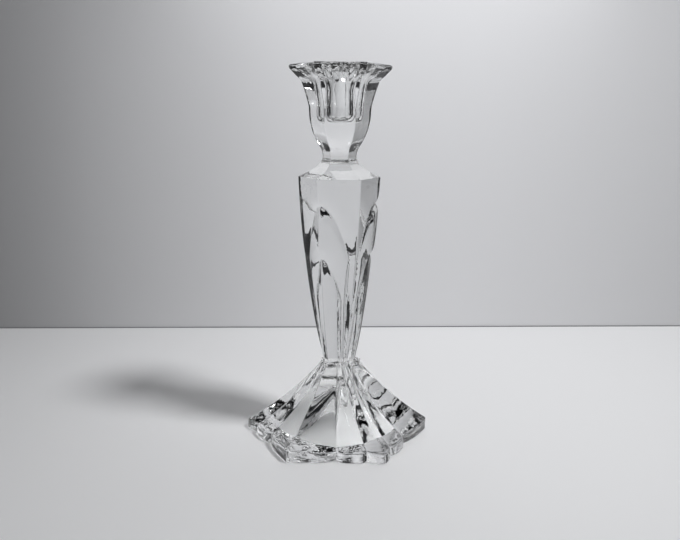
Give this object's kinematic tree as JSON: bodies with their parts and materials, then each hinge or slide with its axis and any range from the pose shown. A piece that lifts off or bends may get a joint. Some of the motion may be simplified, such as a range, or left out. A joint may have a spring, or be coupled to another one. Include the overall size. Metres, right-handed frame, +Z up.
{
  "type": "candlestick",
  "caption": "Pressed crystal candlestick: hollow hexagonal foot with petals and flutes, carved tapering stem, flared hexagonal cup with a round candle socket.",
  "frame": {"origin": "on the axis, at the plane of the table that the foot rests on", "axes": "+Z up along the axis to the cup; +X points to one of the three corners that carry petals"},
  "size_m": [0.1514, 0.1318, 0.3],
  "materials": {
    "crystal": "fire-polished clear crystal",
    "adhesive": "clear cured adhesive"
  },
  "bodies": {
    "root": {"foot": "crystal", "foot_bond": "adhesive", "stem": "crystal", "cup_bond": "adhesive", "candle_cup": "crystal"}
  },
  "joints": []
}
